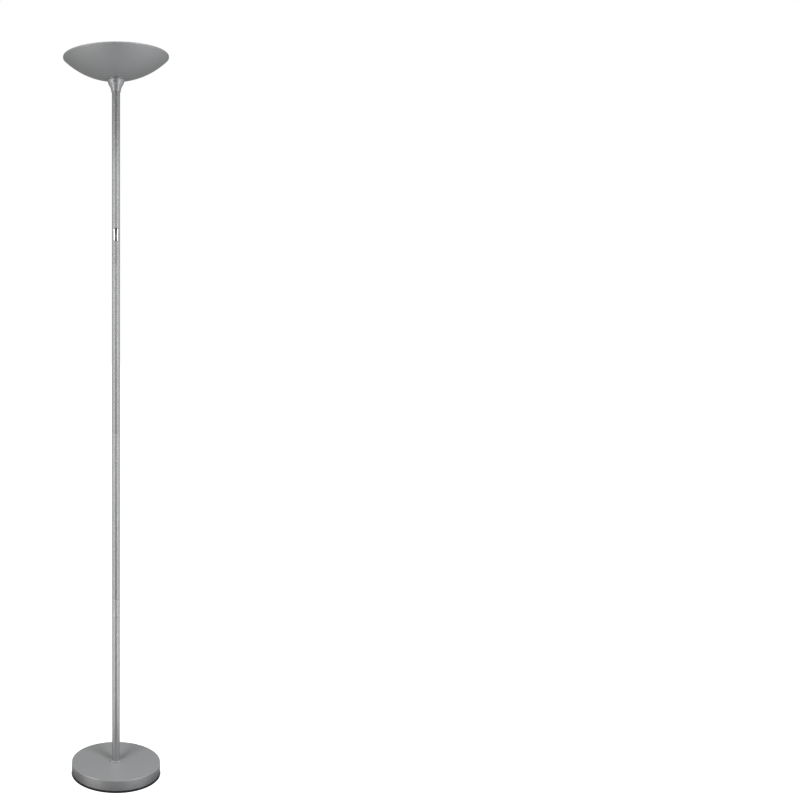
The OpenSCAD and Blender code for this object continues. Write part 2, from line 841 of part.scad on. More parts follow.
module led_driver() {
    color(white)
        difference() {
            union() {
                translate([-driver_l / 2, -driver_w / 2, heat_plate_z - driver_h])
                    cube([driver_l, driver_w, driver_h]);
                translate([-driver_l / 2 - driver_ear_l, -driver_ear_w / 2, heat_plate_z - driver_ear_t])
                    cube([driver_l + 2 * driver_ear_l, driver_ear_w, driver_ear_t]);
            }
            for (side = [-1, 1])
                translate([side * driver_screw_x, 0, heat_plate_z - driver_ear_t - cut])
                    cylinder(r = driver_screw_r + 0.1, h = driver_ear_t + 2 * cut);
        }
}

module driver_screws() {
    color(zinc)
        for (side = [-1, 1])
            translate([side * driver_screw_x, 0, heat_plate_z - driver_ear_t - driver_head_t]) {
                cylinder(r = driver_head_r, h = driver_head_t);
                cylinder(r = driver_screw_r, h = driver_head_t + driver_ear_t + heat_plate_t - 0.1);
            }
}

module diffuser_ring() {
    color(white)
        rotate_extrude($fn = curve_fn)
            difference() {
                intersection() {
                    translate([ring_lip_r, ring_bottom])
                        square([bowl_r - ring_lip_r, diffuser_top - ring_bottom]);
                    translate([0, bowl_centre_z]) circle(r = bowl_inner_r - ring_gap, $fn = 2 * curve_fn);
                }
                translate([0, diffuser_bottom]) square([diffuser_r + 0.2, diffuser_t + cut]);
            }
}

module diffuser() {
    color([0.97, 0.96, 0.92])
        rotate_extrude($fn = curve_fn) rounded_disc(diffuser_r, diffuser_bottom, diffuser_top, 0.6);
}

// ---------------------------------------------------------------- assembly

foot_pads();
foot_bottom_plate();
bottom_plate_screws();
foot_cover();
foot_weight();
foot_washer();
foot_nut();
foot_nipple();
foot_collar();
cord_grommet();
terminal_block();
terminal_inserts();
pole_tube(0);  // pole_tube_1
pole_tube(1);  // pole_tube_2
pole_tube(2);  // pole_tube_3
switch_tube();  // pole_tube_4
tube_bushes();
joint_nipples();
switch_housing();
switch_rocker();
switch_plunger();
switch_spring();
switch_contact_arm();
switch_terminals();
neutral_wire();
live_wire_lower();
live_wire_upper();
neck_cup();
neck_gasket();
neck_nipple();
neck_washer();
neck_nut();
shade_bowl();
plate_pillars();
heat_plate();
plate_screws();
led_board();
led_chips();
led_driver();
driver_screws();
led_leads();
diffuser_ring();
diffuser();
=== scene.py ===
"""Torchiere floor lamp: the visible pieces, their finishes and a plain studio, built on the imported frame."""
import json
from math import atan2, cos, degrees, hypot, pi, radians, sin

import bpy
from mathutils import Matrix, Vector


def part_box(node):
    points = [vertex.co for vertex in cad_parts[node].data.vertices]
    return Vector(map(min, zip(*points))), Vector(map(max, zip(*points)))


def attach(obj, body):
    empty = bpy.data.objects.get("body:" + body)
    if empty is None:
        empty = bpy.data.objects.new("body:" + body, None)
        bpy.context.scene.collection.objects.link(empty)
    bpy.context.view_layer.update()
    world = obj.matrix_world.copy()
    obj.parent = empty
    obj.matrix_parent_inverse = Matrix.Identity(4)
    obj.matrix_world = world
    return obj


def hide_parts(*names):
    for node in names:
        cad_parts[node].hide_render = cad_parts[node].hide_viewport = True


bl_info = {
    "name": "Torchiere Floor Lamp",
    "version": (1, 0, 0),
    "blender": (4, 5, 0),
    "location": "View3D > Sidebar > Lamp",
    "description": "Builds the lamp's visible pieces, their finishes and a plain studio",
    "category": "Add Mesh",
}

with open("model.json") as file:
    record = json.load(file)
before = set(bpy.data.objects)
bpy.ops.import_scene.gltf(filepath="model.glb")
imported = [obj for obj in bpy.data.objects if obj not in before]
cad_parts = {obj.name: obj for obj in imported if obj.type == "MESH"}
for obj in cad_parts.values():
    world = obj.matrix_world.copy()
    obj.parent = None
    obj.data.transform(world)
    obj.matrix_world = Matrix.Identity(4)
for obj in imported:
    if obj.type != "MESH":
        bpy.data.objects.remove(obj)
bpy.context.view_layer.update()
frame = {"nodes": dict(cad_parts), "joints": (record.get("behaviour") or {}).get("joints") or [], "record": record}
MM = 0.001
BODY = "lamp"


def mm(*sizes):
    """Millimetres, as metres."""
    return tuple(size * MM for size in sizes)


def low(node):
    """The lowest corner of a CAD node, in metres."""
    return Vector(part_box(node)[0])


def high(node):
    """The highest corner of a CAD node, in metres."""
    return Vector(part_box(node)[1])


def heights(node):
    """The lowest and highest height of a CAD node."""
    return low(node).z, high(node).z


POLE_R = high("pole_tube_1").x
FOOT_R = high("foot_cover").x
BOWL_R = high("shade_bowl").x
RIM_Z = high("shade_bowl").z
BOWL_DEPTH = 51 * MM
BOWL_BAND = 3 * MM
BOWL_BOTTOM = RIM_Z - BOWL_BAND - BOWL_DEPTH
BOWL_SPHERE_R = (BOWL_R ** 2 + BOWL_DEPTH ** 2) / (2 * BOWL_DEPTH)
NIPPLE_HOLE_R = 5.2 * MM
WHITE = (1, 1, 1, 1)
HINGES = {j["name"]: j for j in frame["joints"]}
ROCKER_PIVOT = Vector(HINGES["rocker_tilt"]["pos_m"])
REST_TILT = -0.5 * radians(sum(HINGES["rocker_tilt"]["range_deg"]))


# ---- settings

class LampPaintSettings(bpy.types.PropertyGroup):
    """Colours and gloss of the finishes"""
    silver: bpy.props.FloatVectorProperty(
        name="Silver Paint", description="Colour of the metallic paint on foot, pole, neck and bowl",
        subtype="COLOR", size=3, min=0, max=1, default=(0.335, 0.34, 0.345))
    silver_metallic: bpy.props.FloatProperty(
        name="Paint Metallic", description="How metallic the silver paint is",
        subtype="FACTOR", min=0, max=1, default=0.5)
    silver_roughness: bpy.props.FloatProperty(
        name="Paint Roughness", description="Roughness of the silver paint",
        subtype="FACTOR", min=0, max=1, default=0.46)
    inside_white: bpy.props.FloatVectorProperty(
        name="Bowl Inside", description="Colour of the white paint inside the bowl",
        subtype="COLOR", size=3, min=0, max=1, default=(0.80, 0.79, 0.76))
    plastic_black: bpy.props.FloatVectorProperty(
        name="Black Plastic", description="Colour of the switch housing and the grommet",
        subtype="COLOR", size=3, min=0, max=1, default=(0.018, 0.018, 0.020))
    opal: bpy.props.FloatVectorProperty(
        name="Opal Diffuser", description="Colour of the opal diffuser",
        subtype="COLOR", size=3, min=0, max=1, default=(0.52, 0.51, 0.485))
    glow: bpy.props.FloatVectorProperty(
        name="Light Colour", description="Colour of the light that the diffuser gives",
        subtype="COLOR", size=3, min=0, max=1, default=(1.0, 0.74, 0.42))
    glow_strength: bpy.props.FloatProperty(
        name="Light Strength", description="Brightness of the diffuser", min=0, max=20, default=0.25)


class LampShapeSettings(bpy.types.PropertyGroup):
    """Sizes of the details that soften the frame's shapes"""
    foot_edge: bpy.props.FloatProperty(
        name="Foot Edge Radius", description="Radius of the foot cover's top edge",
        subtype="DISTANCE", min=0.001, max=0.005, default=0.0015)
    neck_lip: bpy.props.FloatProperty(
        name="Neck Lip Radius", description="Radius of the lip at the foot of the neck",
        subtype="DISTANCE", min=0.0003, max=0.0012, default=0.001)
    rim_hem: bpy.props.FloatProperty(
        name="Rim Hem Thickness", description="Thickness of the hem folded round the bowl's rim",
        subtype="DISTANCE", min=0.001, max=0.004, default=0.0022)
    rocker_edge: bpy.props.FloatProperty(
        name="Rocker Edge Radius", description="Radius of the rocker's edges",
        subtype="DISTANCE", min=0.0001, max=0.001, default=0.00045)


class StudioSettings(bpy.types.PropertyGroup):
    """Floor, lights and camera"""
    floor_colour: bpy.props.FloatVectorProperty(
        name="Floor", description="Colour of the floor",
        subtype="COLOR", size=3, min=0, max=1, default=(0.30, 0.30, 0.30))
    floor_glow: bpy.props.FloatProperty(
        name="Floor Glow", description="Brightness of the floor, lit from beneath", min=0, max=2, default=1.0)
    contact_shadow: bpy.props.FloatProperty(
        name="Contact Shadow", description="Width of the shadow on the floor round the foot", unit="LENGTH",
        min=0.001, max=0.02, default=0.0016)
    key_power: bpy.props.FloatProperty(
        name="Key Power", description="Power of each high softbox", unit="POWER", min=0,
        max=2000, default=320)
    strip_power: bpy.props.FloatProperty(
        name="Strip Power", description="Power of each tall strip light, per metre of its width",
        unit="POWER", min=0, max=2000, default=66)
    surround: bpy.props.FloatProperty(
        name="Surround", description="Brightness of the light from the horizon", min=0, max=5, default=0.5)
    overhead: bpy.props.FloatProperty(
        name="Overhead", description="Brightness straight above, as a multiple of the surround", min=0, max=5,
        default=0.35)
    left_lift: bpy.props.FloatProperty(
        name="Left Lift", description="Brightness to the left, as a multiple of the surround", min=0, max=5,
        default=1.65)
    right_lift: bpy.props.FloatProperty(
        name="Right Lift", description="Brightness to the right, as a multiple of the surround", min=0, max=5,
        default=1.9)
    back_shade: bpy.props.FloatProperty(
        name="Back Shade", description="Share of the surround left behind the lamp",
        subtype="FACTOR", min=0, max=1, default=0.4)
    front_shade: bpy.props.FloatProperty(
        name="Front Shade", description="Share of the surround left low on the camera's side",
        subtype="FACTOR", min=0, max=1, default=0.06)
    floor_bounce: bpy.props.FloatProperty(
        name="Floor Bounce", description="Brightness straight below, as a multiple of the surround", min=0,
        max=5, default=1.5)
    backdrop: bpy.props.FloatProperty(
        name="Backdrop", description="Brightness of the backdrop that the camera sees", min=0, max=2,
        default=1.0)
    camera_distance: bpy.props.FloatProperty(
        name="Camera Distance", description="Distance from the lamp's pole to the camera",
        subtype="DISTANCE", min=1, max=8, default=2.401)
    camera_height: bpy.props.FloatProperty(
        name="Camera Height", description="Height of the camera above the floor",
        subtype="DISTANCE", min=0.2, max=3, default=1.1337)
    camera_lens: bpy.props.FloatProperty(
        name="Camera Lens", description="Focal length of the camera, in millimetres", unit="CAMERA", min=10,
        max=200, default=43.24)
    camera_shift: bpy.props.FloatProperty(
        name="Camera Shift", description="How far the picture is shifted sideways", min=-1,
        max=1, default=0.355)
    camera_pitch: bpy.props.FloatProperty(
        name="Camera Pitch", description="How far the camera looks down",
        subtype="ANGLE", min=-0.5, max=0.5, default=radians(4.13))


# ---- modelling helpers

def deselect_all():
    """Leaves object mode with nothing selected."""
    if bpy.context.object and bpy.context.object.mode != "OBJECT":
        bpy.ops.object.mode_set(mode="OBJECT")
    bpy.ops.object.select_all(action="DESELECT")


def pick(*pieces):
    """Selects these objects only and makes the first one active."""
    deselect_all()
    for piece in pieces:
        piece.select_set(True)
    bpy.context.view_layer.objects.active = pieces[0]


def merge(distance):
    """Merges the vertices of the mesh in edit mode that lie together, and turns its faces outwards."""
    bpy.ops.mesh.select_all(action="SELECT")
    bpy.ops.mesh.remove_doubles(threshold=distance)
    bpy.ops.mesh.normals_make_consistent(inside=False)
    bpy.ops.object.mode_set(mode="OBJECT")


def settle(piece):
    """Moves a piece's place, turn and scale into its mesh, so the object sits at the origin."""
    pick(piece)
    bpy.ops.object.transform_apply(location=True, rotation=True, scale=True)


def named(name):
    """Names the object that was just added, and its mesh, and returns it."""
    piece = bpy.context.object
    piece.name = name
    piece.data.name = name
    return piece


def arc(centre, radius, start, end, steps=6):
    """Points on an arc in the radius-height plane; angles in degrees, 0 pointing outwards."""
    return [(centre[0] + radius * cos(radians(start + (end - start) * i / steps)),
             centre[1] + radius * sin(radians(start + (end - start) * i / steps)))
            for i in range(steps + 1)]


def rounded(inner_r, radius, bottom, top, edge, steps=3):
    """The profile of a disc or tube whose outer edges are rounded."""
    return ([(inner_r, bottom)] + arc((radius - edge, bottom + edge), edge, -90, 0, steps)
            + arc((radius - edge, top - edge), edge, 0, 90, steps) + [(inner_r, top)])


def bezier(p, steps=10):
    """Points on a cubic curve, without its first one."""
    out = []
    for i in range(1, steps + 1):
        t = i / steps
        weights = ((1 - t) ** 3, 3 * (1 - t) ** 2 * t, 3 * (1 - t) * t ** 2, t ** 3)
        out.append(tuple(sum(w * q[k] for w, q in zip(weights, p)) for k in (0, 1)))
    return out


def lathe(name, profile, segments=128, loop=False):
    """Turns a profile of (radius, height) points round the Z axis, ring by ring.

    A loop is a closed section, such as a tube's; otherwise both end rings are filled.
    """
    deselect_all()
    radius, height = profile[0]
    bpy.ops.mesh.primitive_circle_add(vertices=segments, radius=radius, location=(0, 0, height))
    piece = named(name)
    settle(piece)
    bpy.ops.object.mode_set(mode="EDIT")
    bpy.ops.mesh.select_all(action="SELECT")
    points = profile[1:] + (profile[:1] if loop else [])
    for next_radius, next_height in points:
        bpy.ops.mesh.extrude_edges_move(
            TRANSFORM_OT_translate={"value": (0, 0, next_height - height)})
        scale = next_radius / radius
        bpy.ops.transform.resize(value=(scale, scale, 1), center_override=(0, 0, next_height))
        radius, height = next_radius, next_height
    bpy.ops.mesh.select_all(action="SELECT")
    if loop:
        bpy.ops.mesh.remove_doubles(threshold=1e-6)
    else:
        bpy.ops.mesh.select_mode(type="EDGE")
        bpy.ops.mesh.select_all(action="DESELECT")
        bpy.ops.mesh.select_non_manifold(extend=False, use_wire=False, use_multi_face=False,
                                         use_non_contiguous=False, use_verts=False)
        bpy.ops.mesh.fill_holes(sides=0)
        bpy.ops.mesh.select_mode(type="VERT")
    bpy.ops.mesh.select_all(action="SELECT")
    bpy.ops.mesh.normals_make_consistent(inside=False)
    bpy.ops.object.mode_set(mode="OBJECT")
    return piece


def block(name, lowest, highest):
    """A box between two corners, as a start for cutting and bevelling."""
    deselect_all()
    lowest, highest = Vector(lowest), Vector(highest)
    bpy.ops.mesh.primitive_cube_add(size=1, location=(lowest + highest) / 2)
    piece = named(name)
    piece.scale = highest - lowest
    settle(piece)
    return piece


def rod(name, radius, start, end, vertices=48):
    """A round bar between two points."""
    deselect_all()
    start, end = Vector(start), Vector(end)
    bpy.ops.mesh.primitive_cylinder_add(vertices=vertices, radius=radius, depth=(end - start).length,
                                        location=(start + end) / 2)
    piece = named(name)
    piece.rotation_euler = (end - start).to_track_quat("Z", "Y").to_euler()
    settle(piece)
    return piece


def bisect(piece, *planes):
    """Cuts away what lies on the normal's side of each plane (normal, point) and closes the cuts."""
    pick(piece)
    bpy.ops.object.mode_set(mode="EDIT")
    for normal, point in planes:
        bpy.ops.mesh.select_all(action="SELECT")
        bpy.ops.mesh.bisect(plane_co=point, plane_no=normal, use_fill=True, clear_outer=True)
    bpy.ops.object.mode_set(mode="OBJECT")


def to_sides(half_w):
    """The two planes that a piece of this half width is cut to, for bisect."""
    return ((1, 0, 0), (half_w, 0, 0)), ((-1, 0, 0), (-half_w, 0, 0))


def modify(piece, kind, **settings):
    """Adds a modifier with these settings and applies it."""
    pick(piece)
    change = piece.modifiers.new(kind.title(), kind)
    for key, value in settings.items():
        setattr(change, key, value)
    bpy.ops.object.modifier_apply(modifier=change.name)


def combine(piece, other, operation="DIFFERENCE"):
    """Applies a boolean with another piece, which is then removed."""
    modify(piece, "BOOLEAN", operation=operation, object=other, solver="EXACT")
    bpy.data.objects.remove(other)


def soften(piece, width, segments=3, angle=30):
    """Rounds the sharp edges of a piece."""
    modify(piece, "BEVEL", width=width, segments=segments, limit_method="ANGLE", angle_limit=radians(angle),
           harden_normals=False)


def smooth(piece, angle):
    """Smooth shading that keeps real edges sharp."""
    pick(piece)
    bpy.ops.object.shade_smooth_by_angle(angle=radians(angle))


def join(name, pieces):
    """Joins pieces into one object."""
    pick(*pieces)
    bpy.ops.object.join()
    return named(name)


def ring_of(piece, count, start=0):
    """Copies a piece at even steps round the Z axis, each copy with its own mesh, and joins them."""
    copies = [piece]
    for i in range(1, count):
        copy = piece.copy()
        copy.data = piece.data.copy()
        bpy.context.scene.collection.objects.link(copy)
        copies.append(copy)
    for i, copy in enumerate(copies):
        copy.rotation_euler.z = radians(start + 360 * i / count)
        settle(copy)
    return join(piece.name, copies)


def hand_over(piece, slot, node, body=BODY):
    """Gives a finished piece the finish of its slot, and puts it in place of its CAD node."""
    piece.data.materials.clear()
    piece.data.materials.append(finish(slot))
    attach(piece, body)
    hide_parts(node)


# ---- shader groups

class Board:
    """Adds nodes to a node tree and links them, left to right."""

    def __init__(self, tree):
        self.tree = tree
        self.column = 0

    def add(self, kind, inputs=(), **settings):
        """A node of a kind, with settings, and inputs given as {socket: value or other node's output}."""
        node = self.tree.nodes.new(kind)
        node.location = (self.column * 190, -(len(self.tree.nodes) % 4) * 210)
        self.column += 1
        for key, value in settings.items():
            setattr(node, key, value)
        for key, value in dict(inputs).items():
            if isinstance(value, bpy.types.NodeSocket):
                self.tree.links.new(value, node.inputs[key])
            else:
                node.inputs[key].default_value = value
        return node

    def math(self, operation, a, b=0.0, clamp=False):
        """The output of a Math node."""
        return self.add("ShaderNodeMath", {0: a, 1: b}, operation=operation, use_clamp=clamp).outputs[0]

    def times(self, value, *factors):
        """The product of several values."""
        for factor in factors:
            value = self.math("MULTIPLY", value, factor)
        return value

    def mix(self, factor, a, b, blend="MIX"):
        """The output of a colour Mix node."""
        node = self.add("ShaderNodeMix", {0: factor, 6: a, 7: b}, data_type="RGBA", blend_type=blend)
        return node.outputs[2]

    def spread(self, value, low_in, high_in, low_out=0.0, high_out=1.0):
        """Maps a value from one range to another, clamped."""
        return self.add("ShaderNodeMapRange", {0: value, 1: low_in, 2: high_in, 3: low_out, 4: high_out}
                        ).outputs[0]

    def noise(self, place, scale, detail=3.0, roughness=0.5):
        """The output of a Noise Texture."""
        return self.add("ShaderNodeTexNoise", {"Vector": place, "Scale": scale, "Detail": detail,
                                               "Roughness": roughness}).outputs["Fac"]

    def grey(self, value):
        """A grey with this brightness."""
        return self.add("ShaderNodeCombineColor", {0: value, 1: value, 2: value}).outputs[0]

    def shaded(self, colour, value):
        """A colour made darker or lighter by a factor."""
        return self.mix(1.0, colour, self.grey(value), "MULTIPLY")

    def effect(self, group, values):
        """A shared shader group placed in this tree with its own values."""
        return self.add("ShaderNodeGroup", values, node_tree=group).outputs

    def place(self, scale=(1, 1, 1)):
        """Object coordinates, stretched."""
        coords = self.add("ShaderNodeTexCoord").outputs["Object"]
        return self.add("ShaderNodeMapping", {"Vector": coords, "Scale": scale}).outputs["Vector"]


def add_sockets(group, direction, entries):
    """Adds sockets, each given as (name, kind) or (name, kind, default), to a shader group."""
    for name, kind, *default in entries:
        item = group.interface.new_socket(name=name, in_out=direction, socket_type="NodeSocket" + kind)
        if default:
            item.default_value = default[0]


def shader_group(name, inputs, outputs, fill):
    """The shader group of this name, made once; fill adds its nodes and returns its outputs in order."""
    if name in bpy.data.node_groups:
        return bpy.data.node_groups[name]
    group = bpy.data.node_groups.new(name, "ShaderNodeTree")
    add_sockets(group, "INPUT", inputs)
    add_sockets(group, "OUTPUT", outputs)
    board = Board(group)
    given, result = board.add("NodeGroupInput"), board.add("NodeGroupOutput")
    for entry, value in zip(outputs, fill(board, given.outputs)):
        group.links.new(value, result.inputs[entry[0]])
    return group


def metallic_flake_group():
    """Fine metal flake in sprayed paint: a sparkling colour, an uneven gloss and a faint orange peel."""
    def fill(b, given):
        place = b.place()
        flakes = b.add("ShaderNodeTexVoronoi", {"Vector": place, "Scale": given["Flake Scale"]},
                       feature="F1").outputs["Color"]
        shade = b.add("ShaderNodeSeparateColor", {0: flakes}).outputs[0]
        amount = given["Flake Amount"]
        darker = b.math("SUBTRACT", 1.0, amount)
        lighter = b.math("ADD", 1.0, amount)
        gain = b.spread(shade, 0.0, 1.0, darker, lighter)
        cloud = b.noise(place, 9.0, 4.0, 0.55)
        cloud_gain = b.spread(cloud, 0.3, 0.7, 0.985, 1.015)
        gain = b.times(gain, cloud_gain)
        colour = b.shaded(given["Colour"], gain)
        smear = b.noise(place, 22.0, 5.0, 0.6)
        rough = b.math("ADD", given["Roughness"], b.spread(smear, 0.3, 0.7, -0.015, 0.02))
        rough = b.math("ADD", rough, b.spread(shade, 0.0, 1.0, -0.03, 0.03), clamp=True)
        peel = b.noise(place, given["Peel Scale"], 2.0, 0.5)
        height = b.math("ADD", peel, b.times(shade, 0.25))
        return colour, rough, height

    return shader_group(
        "Metallic Flake",
        [("Colour", "Color", (0.5, 0.5, 0.5, 1)), ("Flake Scale", "Float", 2600.0),
         ("Flake Amount", "Float", 0.12), ("Roughness", "Float", 0.36), ("Peel Scale", "Float", 240.0)],
        [("Colour", "Color"), ("Roughness", "Float"), ("Height", "Float")],
        fill)


def handled_group():
    """Marks of use: fine scratches, and smudges that change the gloss."""
    def fill(b, given):
        place = b.place()
        streaks = b.add("ShaderNodeMapping", {"Vector": place, "Scale": (1.0, 1.0, 22.0),
                                              "Rotation": (0.5, 0.35, 0.2)}).outputs["Vector"]
        lines = b.noise(streaks, given["Scale"], 6.0, 0.7)
        mask = b.times(b.spread(lines, 0.62, 0.72), given["Scratches"])
        blots = b.noise(place, 14.0, 4.0, 0.6)
        low_rough = b.math("SUBTRACT", given["Roughness"], given["Smudge"])
        high_rough = b.math("ADD", given["Roughness"], given["Smudge"])
        rough = b.spread(blots, 0.3, 0.7, low_rough, high_rough)
        rough = b.math("ADD", rough, b.times(mask, 0.15), clamp=True)
        return mask, rough, b.times(mask, -1.0)

    return shader_group(
        "Handled Surface",
        [("Scale", "Float", 40.0), ("Scratches", "Float", 0.5), ("Roughness", "Float", 0.3),
         ("Smudge", "Float", 0.08)],
        [("Scratch Mask", "Float"), ("Roughness", "Float"), ("Height", "Float")],
        fill)


def dust_group():
    """House dust that settles on faces that look up."""
    def fill(b, given):
        place = b.place()
        facing = b.add("ShaderNodeNewGeometry").outputs["Normal"]
        up = b.add("ShaderNodeSeparateXYZ", {0: facing}).outputs["Z"]
        upward = b.spread(up, 0.55, 0.98)
        specks = b.spread(b.noise(place, 900.0, 3.0, 0.7), 0.42, 0.68)
        drift = b.spread(b.noise(place, 12.0, 3.0, 0.55), 0.3, 0.75, 0.25, 1.0)
        mask = b.math("MULTIPLY", b.times(upward, specks), b.times(drift, given["Amount"]), clamp=True)
        colour = b.mix(mask, given["Colour"], given["Dust Colour"])
        rough = b.math("ADD", given["Roughness"], b.times(mask, 0.4), clamp=True)
        return colour, rough, mask

    return shader_group(
        "Settled Dust",
        [("Colour", "Color", (0.5, 0.5, 0.5, 1)), ("Dust Colour", "Color", (0.55, 0.53, 0.50, 1)),
         ("Amount", "Float", 0.1), ("Roughness", "Float", 0.4)],
        [("Colour", "Color"), ("Roughness", "Float"), ("Mask", "Float")],
        fill)


def fine_grain_group():
    """Moulded or cast grain: small rounded bumps with a faint change of colour."""
    def fill(b, given):
        place = b.place()
        cells = b.add("ShaderNodeTexVoronoi", {"Vector": place, "Scale": given["Scale"]},
                      feature="SMOOTH_F1").outputs["Distance"]
        cloud = b.noise(place, 30.0, 4.0, 0.6)
        change = b.times(b.math("SUBTRACT", cloud, 0.5), given["Variation"])
        gain = b.math("ADD", 1.0, b.times(change, 2.0))
        colour = b.shaded(given["Colour"], gain)
        rough = b.math("ADD", given["Roughness"], change, clamp=True)
        return colour, rough, cells

    return shader_group(
        "Fine Grain",
        [("Colour", "Color", (0.5, 0.5, 0.5, 1)), ("Scale", "Float", 900.0), ("Variation", "Float", 0.08),
         ("Roughness", "Float", 0.5)],
        [("Colour", "Color"), ("Roughness", "Float"), ("Height", "Float")],
        fill)


# ---- finishes

INSULATION = (0.4, 1500.0, 0.05, 0.05)  # a wire's roughness, grain scale, bump and change of colour


def colour4(rgb):
    """A colour with full alpha, as a node socket takes it."""
    return (rgb[0], rgb[1], rgb[2], 1.0)


def new_material(name, **uniform):
    """A material with its shader; uniform values go straight on the shader's own sockets."""
    material = bpy.data.materials.new(name)
    material.use_nodes = True
    shader = material.node_tree.nodes["Principled BSDF"]
    for key, value in uniform.items():
        shader.inputs[key.replace("_", " ")].default_value = value
    return material, Board(material.node_tree), shader


def wire(board, shader, colour=None, roughness=None, height=None, bump=0.1, distance=0.0002):
    """Links varying values to the shader; a height goes through a Bump node."""
    if colour is not None:
        board.tree.links.new(colour, shader.inputs["Base Color"])
    if roughness is not None:
        board.tree.links.new(roughness, shader.inputs["Roughness"])
    if height is not None:
        node = board.add("ShaderNodeBump", {"Height": height, "Strength": bump, "Distance": distance})
        board.tree.links.new(node.outputs["Normal"], shader.inputs["Normal"])


def painted(name, colour, roughness, flake, dust, bump, metallic=0.0):
    """Sprayed paint with metal flake, an orange peel and a little dust on top."""
    material, b, shader = new_material(name, Metallic=metallic, Coat_Weight=0.2, Coat_Roughness=0.25)
    flakes = b.effect(metallic_flake_group(), {"Colour": colour4(colour), "Flake Amount": flake,
                                               "Roughness": roughness})
    top = b.effect(dust_group(), {"Colour": flakes["Colour"], "Roughness": flakes["Roughness"],
                                  "Amount": dust})
    wire(b, shader, top["Colour"], top["Roughness"], flakes["Height"], bump)
    return material


def plated(name, colour, roughness, scratches, smudge, scale=40.0):
    """Bare or plated metal with fine scratches and smudges."""
    material, b, shader = new_material(name, Metallic=1.0)
    marks = b.effect(handled_group(), {"Scale": scale, "Scratches": scratches, "Roughness": roughness,
                                       "Smudge": smudge})
    shade = b.mix(marks["Scratch Mask"], colour4(colour), colour4([0.8 * c for c in colour]))
    wire(b, shader, shade, marks["Roughness"], marks["Height"], 0.05, 0.00005)
    return material


def moulded(name, colour, roughness, scale=900.0, bump=0.12, variation=0.08, metallic=0.0):
    """Moulded plastic, rubber or a casting, with its fine grain."""
    material, b, shader = new_material(name, Metallic=metallic)
    grain = b.effect(fine_grain_group(), {"Colour": colour4(colour), "Scale": scale,
                                          "Variation": variation, "Roughness": roughness})
    wire(b, shader, grain["Colour"], grain["Roughness"], grain["Height"], bump, 0.0002)
    return material


def silver_paint(name):
    """Silver-grey metallic paint of foot, pole, neck and bowl."""
    paint = bpy.context.scene.lamp_paint
    return painted(name, paint.silver, paint.silver_roughness, 0.08, 0.08, 0.012, paint.silver_metallic)


def inside_paint(name):
    """White paint inside the bowl."""
    return painted(name, bpy.context.scene.lamp_paint.inside_white, 0.42, 0.01, 0.12, 0.05)


def black_plastic(name):
    """Matt black plastic of the switch housing."""
    return moulded(name, bpy.context.scene.lamp_paint.plastic_black, 0.42)


def felt(name):
    """Pressed black felt: loose fibres and soft tufts."""
    material, b, shader = new_material(name, Sheen_Weight=0.4, Sheen_Roughness=0.6)
    place = b.place((1.0, 1.0, 2.5))
    fibres = b.noise(place, 2600.0, 6.0, 0.75)
    tufts = b.noise(place, 260.0, 3.0, 0.6)
    shade = b.times(fibres, tufts)
    colour = b.mix(b.spread(shade, 0.12, 0.42), (0.006, 0.006, 0.007, 1), (0.040, 0.039, 0.038, 1))
    rough = b.spread(fibres, 0.3, 0.7, 0.85, 0.98)
    wire(b, shader, colour, rough, b.math("ADD", fibres, tufts), 0.7, 0.0006)
    return material


def opal(name):
    """Opal acrylic that glows, brightest over the rings of chips."""
    paint = bpy.context.scene.lamp_paint
    material, b, shader = new_material(name, Subsurface_Weight=0.25, Subsurface_Scale=0.004, Coat_Weight=0.3,
                                       Coat_Roughness=0.15, Emission_Strength=paint.glow_strength)
    place = b.place()
    flat = b.add("ShaderNodeVectorMath", {0: place, 1: (1, 1, 0)}, operation="MULTIPLY").outputs[0]
    reach = b.add("ShaderNodeVectorMath", {0: flat}, operation="LENGTH").outputs["Value"]
    level = b.spread(reach, 0.045, 0.113, 1.0, 0.45)
    grain = b.effect(fine_grain_group(), {"Colour": colour4(paint.opal), "Scale": 1200.0,
                                          "Variation": 0.03, "Roughness": 0.3})
    top = b.effect(dust_group(), {"Colour": grain["Colour"], "Roughness": grain["Roughness"],
                                  "Amount": 0.15})
    wire(b, shader, top["Colour"], top["Roughness"], grain["Height"], 0.03)
    edge = [c * k for c, k in zip(paint.glow, (1.0, 0.82, 0.62))]
    glow = b.mix(level, colour4([0.4 * c for c in edge]), colour4(paint.glow))
    b.tree.links.new(glow, shader.inputs["Emission Color"])
    return material


